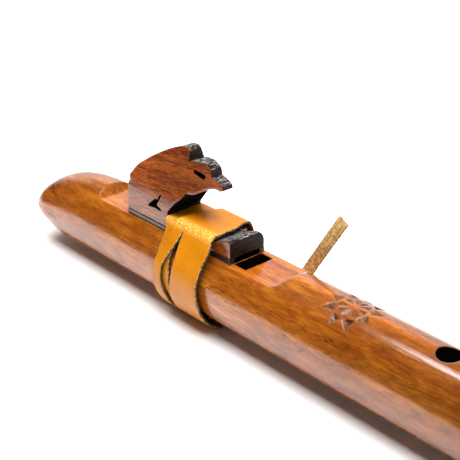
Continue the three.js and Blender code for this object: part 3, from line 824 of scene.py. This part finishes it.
def tube_ring(place):
    tip = -MOUTH_TIP_DROP
    top = tip + (TUBE_RADIUS - tip) * end_rounding(place, TOP_SLOPE_LENGTH, TOP_SLOPE_POWER, 2)
    under = tip - (TUBE_RADIUS + tip) * end_rounding(place, UNDERSIDE_ROUND_LENGTH, 1, 2)
    half = TUBE_RADIUS * end_rounding(place, SIDE_ROUND_LENGTH, SIDE_ROUND_POWER, SIDE_ROUND_POWER)
    ring = []
    for angle in all_round(TUBE_SIDES):
        turn = angle + pi / TUBE_SIDES
        ring.append((place, half * sin(turn), (top + under) / 2 + (top - under) / 2 * cos(turn)))
    return ring


def closed_mesh(name, points, faces, slot):
    """A closed mesh facing outwards, with the same material slot on every face."""
    obj = mesh_object(name, points, faces, (WOOD, BORE_SHADE, CARVED), [slot] * len(faces))
    face_outwards(obj)
    return obj


def turned(name, outline, sides, drop=0.0):
    """A cutter turned about the tube's axis, from places along it and radii."""
    rings = []
    for along, radius in outline:
        rings.append([(along, radius * sin(a), radius * cos(a) - drop) for a in all_round(sides)])
    return closed_mesh(name, *loft(rings), BORE_SHADE_SLOT)


def across_tube(name, outline, width, slot=BORE_SHADE_SLOT):
    """A cutter from a side outline in places and heights."""
    rings = [[(x, side * width / 2, z) for x, z in outline] for side in (-1, 1)]
    return closed_mesh(name, *loft(rings), slot)


def box_outline(back, front, low, high):
    return [(back, low), (front, low), (front, high), (back, high)]


def drill(name, place, radius, turn, sides):
    """A round cutter from the axis outwards, at a turn from the top."""
    out = np.array((0, sin(turn), cos(turn)))
    aside = np.array((0, cos(turn), -sin(turn)))
    rings = []
    for reach in (0.0, TUBE_RADIUS + OVERRUN):
        rings.append([(place + radius * cos(a), 0, 0) + out * reach + aside * radius * sin(a)
                      for a in all_round(sides)])
    return closed_mesh(name, *loft(rings), BORE_SHADE_SLOT)


def cut(obj, cutters, operation="DIFFERENCE"):
    """Applies the cutters to the object one by one, then removes them."""
    for cutter in cutters:
        modifier = obj.modifiers.new("cut", "BOOLEAN")
        modifier.operation = operation
        modifier.solver = "MANIFOLD"
        modifier.object = cutter
    bpy.context.view_layer.update()
    depsgraph = bpy.context.evaluated_depsgraph_get()
    mesh = bpy.data.meshes.new_from_object(obj.evaluated_get(depsgraph), depsgraph=depsgraph)
    obj.modifiers.clear()
    old = obj.data
    obj.data = mesh
    bpy.data.meshes.remove(old)
    for cutter in cutters:
        bpy.data.objects.remove(cutter)
    return obj


def nest_outline():
    cove = NEST_COVE_RADIUS
    sweep = acos((cove - NEST_DEPTH) / cove)
    arc = [(cove * sin(a), NEST_HEIGHT + cove * (1 - cos(a)))
           for a in np.linspace(0, sweep, COVE_STEPS + 1)]
    foot = [(NEST_FOOT_REACH + run, z) for run, z in arc]
    mouth = [(-NEST_MOUTH_REACH - run, z) for run, z in arc]
    high = TUBE_RADIUS + OVERRUN
    return [*foot, (foot[-1][0], high), (mouth[-1][0], high), *reversed(mouth)]


def tube_cutters():
    chamber_start = -AIR_CHAMBER_REACH + AIR_CHAMBER_CONE_LENGTH
    exit_front = PLUG_MOUTH_FACE - EXIT_HOLE_SETBACK
    exit_back = exit_front - EXIT_HOLE_LENGTH
    flue_end = -SOUND_HOLE_LENGTH - FLUE_LEDGE
    track = NEST_HEIGHT - FLUE_TRACK_DEPTH
    high = TUBE_RADIUS + OVERRUN
    sound_hole = [
        (-SOUND_HOLE_LENGTH, 0),
        (UNDERCUT_RUN, 0),
        (UNDERCUT_RUN, BORE_RADIUS - OVERRUN),
        (0, NEST_HEIGHT - SPLITTING_EDGE_THICKNESS),
        (0, NEST_HEIGHT + OVERRUN),
        (-SOUND_HOLE_LENGTH, NEST_HEIGHT + OVERRUN),
    ]
    cutters = [
        turned("sound_chamber_cut", [(-SOUND_HOLE_LENGTH, BORE_RADIUS), (FOOT_REACH + OVERRUN, BORE_RADIUS)],
               BORE_SIDES),
        turned("air_chamber_cut", [(-AIR_CHAMBER_REACH, BLOW_HOLE_RADIUS), (chamber_start, BORE_RADIUS),
                                   (PLUG_MOUTH_FACE, BORE_RADIUS)], BORE_SIDES),
        turned("blow_hole_cut", [(-MOUTH_REACH - OVERRUN, BLOW_HOLE_RADIUS),
                                 (chamber_start, BLOW_HOLE_RADIUS)], SMALL_HOLE_SIDES, MOUTH_TIP_DROP),
        across_tube("nest_cut", nest_outline(), 2 * high, WOOD_SLOT),
        across_tube("exit_hole_cut", box_outline(exit_back, exit_front, 0, high), FLUE_WIDTH),
        across_tube("sound_hole_cut", sound_hole, SOUND_HOLE_WIDTH),
        across_tube("flue_cut", box_outline(exit_back, flue_end, track, NEST_HEIGHT + SEAT_GAP), FLUE_WIDTH),
    ]
    hand_span = (HOLES_PER_HAND - 1) * FINGER_HOLE_STEP + HAND_GAP
    for hand in range(HANDS):
        for finger in range(HOLES_PER_HAND):
            place = FIRST_FINGER_HOLE + hand * hand_span + finger * FINGER_HOLE_STEP
            cutters.append(drill("finger_hole_cut", place, FINGER_HOLE_RADIUS, 0.0, FINGER_HOLE_SIDES))
    for hole in range(FOOT_HOLE_COUNT):
        turn = (hole + 0.5) / FOOT_HOLE_COUNT * 2 * pi
        cutters.append(drill("foot_hole_cut", FOOT_REACH - FOOT_HOLE_SETBACK, FOOT_HOLE_RADIUS, turn,
                             SMALL_HOLE_SIDES))
    return cutters


# The sun: three-cornered chips in rings about a centre, as places along the tube and round it

SUN_PLACE = 47.6
SUN_ASIDE = 0.7
RAY_COUNT = 9
RAY_TURN = radians(25)
RAY_TIP = 11.4
RAY_BASE = 7.1
RAY_BASE_SHARE = 0.86
RAY_PIT_SETBACK = 1.1
RAY_DEPTH = 1.05
PETAL_TIP = 1.3
PETAL_BASE = 5.6
PETAL_BASE_SHARE = 0.62
PETAL_PIT_SETBACK = 1.0
PETAL_DEPTH = 0.6
CHIP_RISE = 1.3


def on_sun(radius, angle, depth=0.0):
    """A point of the tube's surface, or below it, from a radius and an angle about the sun's centre."""
    place = SUN_PLACE + radius * cos(angle)
    turn = (SUN_ASIDE + radius * sin(angle)) / TUBE_RADIUS
    reach = TUBE_RADIUS - depth
    return Vector((place, -reach * sin(turn), reach * cos(turn)))


def chip(name, corners, deepest):
    """A three-cornered pit's cutter, which runs on above the surface."""
    tops = [deepest + (corner - deepest) * CHIP_RISE for corner in corners]
    return closed_mesh(name, [deepest, *tops], [(0, 1, 2), (0, 2, 3), (0, 3, 1), (1, 3, 2)], CARVED_SLOT)


def sun_cutters():
    cutters = []
    step = 2 * pi / RAY_COUNT
    for ray in range(RAY_COUNT):
        for name, turn, tip, base, base_share, pit, depth in (
            ("ray_cut", 0.0, RAY_TIP, RAY_BASE, RAY_BASE_SHARE, RAY_BASE + RAY_PIT_SETBACK, RAY_DEPTH),
            ("petal_cut", step / 2, PETAL_TIP, PETAL_BASE, PETAL_BASE_SHARE, PETAL_BASE - PETAL_PIT_SETBACK,
             PETAL_DEPTH),
        ):
            angle = RAY_TURN + ray * step + turn
            spread = step / 2 * base_share
            corners = [on_sun(tip, angle), on_sun(base, angle - spread), on_sun(base, angle + spread)]
            cutters.append(chip(name, corners, on_sun(pit, angle, depth)))
    return cutters


def tube_halves():
    turns = np.linspace(0, pi / 2, MOUTH_RINGS + 1)
    places = -MOUTH_REACH + TOP_SLOPE_LENGTH * (1 - np.cos(turns)) ** MOUTH_CROWDING
    places[0] += MOUTH_START
    places = [*places, *np.linspace(STRAIGHT_FROM, FOOT_REACH, STRAIGHT_RINGS)]
    body = closed_mesh("tube", *loft([tube_ring(place) for place in places]), WOOD_SLOT)
    cut(body, tube_cutters() + sun_cutters())
    reach = TUBE_RADIUS + OVERRUN
    for name, low, high in (("upper_tube_half", 0.0, reach), ("lower_tube_half", -reach, 0.0)):
        half = new_object(name, body.data.copy())
        outline = box_outline(-MOUTH_REACH - OVERRUN, FOOT_REACH + OVERRUN, low, high)
        cut(half, [across_tube("half_cut", outline, 2 * reach, WOOD_SLOT)], "INTERSECT")
        smooth(half, WOOD_SMOOTH_ANGLE)
        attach(half, "tube")
        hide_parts(name.split("_")[0] + "_body_half")
    bpy.data.objects.remove(body)


tube_halves()


# Block: places are shares of its length and height from its back lower corner

FUR_SHARES = [(0, 0.325), (0.013, 0.369), (0, 0.417)]
BACK_SHARES = [
    (0, 0.417), (0.062, 0.565), (0.125, 0.655), (0.2, 0.75), (0.332, 0.89), (0.448, 0.979), (0.506, 1),
]
EAR_SHARES = [(0.506, 1), (0.529, 0.964), (0.537, 0.851)]
BROW_SHARES = [(0.537, 0.851), (0.585, 0.878), (0.632, 0.887), (0.678, 0.881), (0.719, 0.833), (0.726, 0.759)]
MUZZLE_SHARES = [(0.726, 0.759), (0.78, 0.732), (0.823, 0.705), (0.824, 0.652), (0.801, 0.634)]
JAW_SHARES = [(0.801, 0.634), (0.765, 0.643), (0.706, 0.61), (0.67, 0.568), (0.601, 0.5), (0.557, 0.491)]
CHEST_SHARES = [(0.557, 0.491), (0.532, 0.432), (0.476, 0.339), (0.411, 0.202)]
BURNT_FROM_SHARE = 0.455
MARK_SHARES = [
    (0.215, 0.169), (0.226, 0.193), (0.283, 0.285), (0.313, 0.295), (0.312, 0.322), (0.328, 0.357),
    (0.341, 0.367), (0.339, 0.338), (0.324, 0.282), (0.304, 0.23), (0.311, 0.212), (0.331, 0.205),
    (0.351, 0.181), (0.341, 0.164), (0.323, 0.169), (0.28, 0.173), (0.225, 0.161),
]
EYE_HALF_WIDTHS = (0.8, 1.05)
EYE_BACK_POINTS = 7
EYE_FRONT_POINTS = 11
OUTLINE_STEP = 0.45
FACE_STEP = 0.8
RIM_RADIUS = 0.32
WALL_COLUMNS = 16
CREASE_BLEND = 1.2
LIP_CORNER_RADIUS = 4.5
TOOL_MARK_DEPTH = 0.09
TOOL_MARKS_PER_MM = 0.9
SHARPEST_INSET = 0.6
SAME_POINT = 1e-4
BLOCK_SMOOTH_ANGLE = 40
PLATE_SMOOTH_ANGLE = 30
FACE_SLOT, BLACK_SLOT, CHARRED_SLOT = 0, 1, 2


def on_block(shares):
    """The place and height of one pair of shares, or of each pair in a list."""
    return np.array(shares) * (BLOCK_LENGTH, BLOCK_HEIGHT) + (-BLOCK_BACK_REACH, BLOCK_SEAT)


def block_outline():
    """The side outline, and for each of its points the material slot of the contour after it."""
    points, slots = [], []

    def straight(ends, slot):
        for start, end in zip(ends, ends[1:]):
            steps = max(1, round(np.linalg.norm(end - start) / OUTLINE_STEP))
            points.extend(start + (end - start) * step / steps for step in range(steps))
            slots.extend([slot] * steps)

    def curved(shares, slot_from, slot):
        ends = on_block(shares)
        for point in catmull_rom(ends, round(way_along(ends)[-1] / OUTLINE_STEP))[:-1]:
            points.append(point)
            slots.append(slot if point[0] >= slot_from else FACE_SLOT)

    everywhere = -BLOCK_BACK_REACH - OVERRUN
    saddle = BLOCK_SEAT + SADDLE_HEIGHT
    lip = BLOCK_SEAT + LIP_HEIGHT
    straight(on_block([(0, 0), *FUR_SHARES]), FACE_SLOT)
    curved(BACK_SHARES, on_block((BURNT_FROM_SHARE, 0))[0], BLACK_SLOT)
    straight(on_block(EAR_SHARES), BLACK_SLOT)
    curved(BROW_SHARES, everywhere, BLACK_SLOT)
    straight(on_block(MUZZLE_SHARES), BLACK_SLOT)
    curved(JAW_SHARES, everywhere, FACE_SLOT)
    curved(CHEST_SHARES, everywhere, CHARRED_SLOT)
    straight(np.array([
        on_block(CHEST_SHARES[-1]),
        (SADDLE_BACK, saddle),
        (-SADDLE_FRONT_REACH, saddle),
        (BLOCK_FRONT - LIP_CHAMFER, lip),
        (BLOCK_FRONT, lip - LIP_CHAMFER / 2),
        (BLOCK_FRONT, BLOCK_SEAT),
        on_block((0, 0)),
    ]), BLACK_SLOT)
    return np.array(points), slots


def inset(loop, distance):
    """The points of a clockwise loop moved inwards."""
    ahead = np.roll(loop, -1, axis=0) - loop
    ahead /= np.linalg.norm(ahead, axis=1)[:, None]
    normals = np.stack([ahead[:, 1], -ahead[:, 0]], axis=1)
    both = normals + np.roll(normals, 1, axis=0)
    scale = np.maximum(np.sum(both * both, axis=1), SHARPEST_INSET)
    return loop + both * (2 * distance / scale)[:, None]


def blended_least(a, b, reach):
    """The lesser of two values, rounded off where they are close."""
    share = max(reach - abs(a - b), 0.0) / reach
    return min(a, b) - share * share * reach / 4


def half_width(x, z, side):
    """Half the block's thickness at a place and height, on its near side (-1) or far side (1)."""
    lean = FACE_LEAN * (z - BLOCK_SEAT - FACE_LEAN_START)
    half = blended_least(BLOCK_WIDTH / 2, BLOCK_WIDTH / 2 - lean, CREASE_BLEND)
    places = [on_block((share, 0))[0] for share in (CHEEK_FROM_SHARE, CHEEK_MID_SHARE, MUZZLE_SHARES[2][0])]
    if z > on_block(JAW_SHARES[-1])[1] - JOINT_GAP and x > places[0]:
        cheek = np.interp(x, places, (CHEEK_START_HALF_WIDTH, CHEEK_HALF_WIDTH, NOSE_HALF_WIDTH))
        cheek += CHEEK_LEAN * (BLOCK_SEAT + CHEEK_LEVEL - z)
        half = blended_least(half, cheek, CREASE_BLEND)
    top = np.interp(x, (-SADDLE_FRONT_REACH, BLOCK_FRONT - LIP_CHAMFER),
                    (BLOCK_SEAT + SADDLE_HEIGHT, BLOCK_SEAT + LIP_HEIGHT))
    rise = z - top + LIP_CORNER_RADIUS
    if side > 0 and x > -SADDLE_FRONT_REACH and rise > 0:
        rounded = sqrt(max(LIP_CORNER_RADIUS ** 2 - rise ** 2, 0.0))
        half = min(half, BLOCK_WIDTH / 2 - LIP_CORNER_RADIUS + rounded)
    return half


def eye_loop():
    """A slit that is narrow at the back and round at the front, tilted down to the front."""
    back, front = EYE_HALF_WIDTHS
    along = np.array([cos(EYE_TILT), -sin(EYE_TILT)])
    aside = np.array([-along[1], along[0]])
    loop = []
    for radius, side, start, points in ((front, 1, pi / 2, EYE_FRONT_POINTS),
                                        (back, -1, -pi / 2, EYE_BACK_POINTS)):
        middle = on_block(EYE_SHARE) + side * along * (EYE_LENGTH / 2 - radius)
        for angle in np.linspace(start, start - pi, points):
            loop.append(middle + radius * (along * cos(angle) + aside * sin(angle)))
    return np.array(loop)


def inside(point, loop):
    """Whether a point lies within a closed loop."""
    x, z = point
    following = np.roll(loop, -1, axis=0)
    crosses = (loop[:, 1] > z) != (following[:, 1] > z)
    a, b = loop[crosses], following[crosses]
    at = a[:, 0] + (z - a[:, 1]) * (b[:, 0] - a[:, 0]) / (b[:, 1] - a[:, 1])
    return np.count_nonzero(at > x) % 2 == 1


def face_triangles(outline, holes):
    """A fine triangulation inside the outline and outside the holes: its points and triangles."""
    loops = [outline, *holes]
    fixed = np.concatenate(loops)

    def on_face(point):
        return inside(point, outline) and not any(inside(point, hole) for hole in holes)

    low, high = outline.min(axis=0), outline.max(axis=0)
    grid = []
    for level, z in enumerate(np.arange(low[1], high[1], FACE_STEP)):
        for x in np.arange(low[0] + (level % 2) * FACE_STEP / 2, high[0], FACE_STEP):
            clear = np.min(np.linalg.norm(fixed - (x, z), axis=1)) > FACE_STEP / 2
            if clear and on_face((x, z)):
                grid.append((x, z))
    edges, start = [], 0
    for loop in loops:
        count = len(loop)
        edges += [(start + i, start + (i + 1) % count) for i in range(count)]
        start += count
    flat = [Vector(p) for p in [*fixed, *grid]]
    points, _, faces, origins, _, _ = delaunay_2d_cdt(flat, edges, [], 0, SAME_POINT)
    assert all(i in origin for i, origin in enumerate(origins[:len(fixed)]))
    points = np.array([tuple(p) for p in points])
    return points, [tuple(face) for face in faces if on_face(points[list(face)].mean(axis=0))]


def carved_block():
    """Two carved faces, the contour between them and the walls of the cuts through them."""
    outline, slots = block_outline()
    holes = [eye_loop(), on_block(MARK_SHARES)]
    flat, triangles = face_triangles(inset(outline, RIM_RADIUS), holes)
    points, faces, kinds = [], [], []

    def join(a, b, count, materials):
        for i in range(count):
            j = (i + 1) % count
            faces.append((a + i, a + j, b + j, b + i))
            kinds.append(materials[i])

    count = len(outline)
    bend = RIM_RADIUS * (1 - sqrt(0.5))
    starts, rims = [], []
    for side in (-1, 1):
        starts.append(len(points))
        points.extend((x, side * half_width(x, z, side), z) for x, z in flat)
        faces.extend(tuple(starts[-1] + i for i in triangle) for triangle in triangles)
        kinds.extend([FACE_SLOT] * len(triangles))
        rims.append(len(points))
        points.extend((x, side * (half_width(x, z, side) - bend), z) for x, z in inset(outline, bend))
        join(starts[-1], rims[-1], count, [FACE_SLOT] * count)
    outwards = outline - inset(outline, 1.0)
    columns = [rims[0]]
    for column in range(WALL_COLUMNS + 1):
        columns.append(len(points))
        for (x, z), out, slot in zip(outline, outwards, slots):
            near = -half_width(x, z, -1) + RIM_RADIUS
            far = half_width(x, z, 1) - RIM_RADIUS
            y = near + (far - near) * column / WALL_COLUMNS
            depth = 0.0
            if 0 < column < WALL_COLUMNS and slot != FACE_SLOT:
                depth = min(TOOL_MARK_DEPTH * noise.noise(Vector((x, y, z)) * TOOL_MARKS_PER_MM), 0.0)
            points.append((x + out[0] * depth, y, z + out[1] * depth))
    columns.append(rims[1])
    for a, b in zip(columns, columns[1:]):
        join(a, b, count, slots)
    offset = count
    for hole in holes:
        join(starts[0] + offset, starts[1] + offset, len(hole), [CHARRED_SLOT] * len(hole))
        offset += len(hole)
    block = mesh_object("carved_block", points, faces, (BLOCK, BLACK, CHARRED), kinds)
    face_outwards(block)
    smooth(block, BLOCK_SMOOTH_ANGLE)
    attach(block, "tied_block")
    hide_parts("bear_block")


carved_block()


# Floor and light, in metres

FLOOR_REACH = 40.0
SOFTBOX_PLACE = (-0.12, 0.0, 1.0)
SOFTBOX_SIZE = (1.45, 0.9)
SOFTBOX_RADIANCE = 9.3
TUBE_LAMP_PLACE = (-0.035, 0.06, 0.995)
TUBE_LAMP_SIZE = (1.22, 0.17)
TUBE_LAMP_RADIANCE = 12.5
FAR_SIDE_RADIANCE = 1.1
SURROUNDING_RADIANCE = 0.08
LOW_DOWN = (0.62, 0.42)
FAR_SIDE = (0.0, 0.35)
BACKDROP_REACH = 30.0
BACKDROP_HEIGHT = 20.0
BACKDROP_SIDES = 48
BACKDROP_GLOW = 1.5
STAGE_ROUGHNESS = 0.9
PALE = (0.8, 0.8, 0.8)
DARK = (0.002, 0.002, 0.002)
CARD_SETBACK = 0.125
CARD_HEIGHT = 0.6
CARD_LENGTH = 6.0


def area_light(name, place, size, radiance):
    """A lamp with a flat panel that faces down."""
    data = bpy.data.lights.new(name, "AREA")
    data.shape = "RECTANGLE"
    data.size, data.size_y = size
    data.energy = radiance * pi * size[0] * size[1]
    light = new_object(name, data)
    light.location = place
    light.visible_camera = False
    return light


def stage_mesh(name, corners, color, faces=((0, 1, 2, 3),), **inputs):
    """A matt surface of the set, from corners in the frame's metres."""
    mesh = bpy.data.meshes.new(name)
    mesh.from_pydata(corners, [], faces)
    mesh.materials.append(Look(name).finish((*color, 1), STAGE_ROUGHNESS, **inputs))
    obj = new_object(name, mesh)
    return obj


def stage():
    """A pale table and backdrop, and a dark card on the near side that only reflections show."""
    reach = FLOOR_REACH
    corners = [(x, y, 0) for x, y in box_outline(-reach, reach, -reach, reach)]
    stage_mesh("table", corners, PALE, specular_ior_level=0.1)
    half = CARD_LENGTH / 2
    corners = [(x, -CARD_SETBACK, z) for x, z in box_outline(-half, half, 0, CARD_HEIGHT)]
    card = stage_mesh("dark_card", corners, DARK, specular_ior_level=0.0)
    corners, faces = [], []
    for side, angle in enumerate(all_round(BACKDROP_SIDES)):
        x, y = BACKDROP_REACH * cos(angle), BACKDROP_REACH * sin(angle)
        corners += [(x, y, 0), (x, y, BACKDROP_HEIGHT)]
        a = 2 * side
        b = 2 * ((side + 1) % BACKDROP_SIDES)
        faces.append((a, b, b + 1, a + 1))
    backdrop = stage_mesh("backdrop", corners, PALE, faces, emission_color=(1, 1, 1, 1),
                           emission_strength=BACKDROP_GLOW)
    for obj in (card, backdrop):
        obj.visible_diffuse = False
        obj.visible_transmission = False
        obj.visible_shadow = False
    card.visible_camera = False
    backdrop.visible_glossy = False


def world():
    """Dark surroundings with a pale wall low down on the far side."""
    made = bpy.data.worlds.new("studio")
    made.use_nodes = True
    nodes = Nodes(made.node_tree)
    direction = nodes.add("TexCoord", {}).outputs["Generated"]
    shares = []
    for axis, start, end in ((2, *LOW_DOWN), (1, *FAR_SIDE)):
        inputs = {"Value": nodes.component(direction, axis), "From Min": start, "From Max": end}
        shares.append(nodes.add("MapRange", inputs, interpolation_type="SMOOTHSTEP").outputs[0])
    wall = nodes.times(*shares, FAR_SIDE_RADIANCE - SURROUNDING_RADIANCE)
    background = made.node_tree.nodes["Background"]
    nodes.put(background.inputs["Strength"], nodes.math("ADD", SURROUNDING_RADIANCE, wall))
    background.inputs["Color"].default_value = (1, 1, 1, 1)
    bpy.context.scene.world = made


stage()
world()
softbox = area_light("softbox", SOFTBOX_PLACE, SOFTBOX_SIZE, SOFTBOX_RADIANCE)
softbox.visible_glossy = False
tube_lamp = area_light("tube_lamp", TUBE_LAMP_PLACE, TUBE_LAMP_SIZE, TUBE_LAMP_RADIANCE)
tube_lamp.visible_diffuse = False
bpy.context.scene.view_settings.view_transform = "Standard"


# The plate keeps its CAD solid

plate = frame["nodes"]["spacer_plate"]
plate.data.materials.clear()
plate.data.materials.append(PLATE)
smooth(plate, PLATE_SMOOTH_ANGLE)
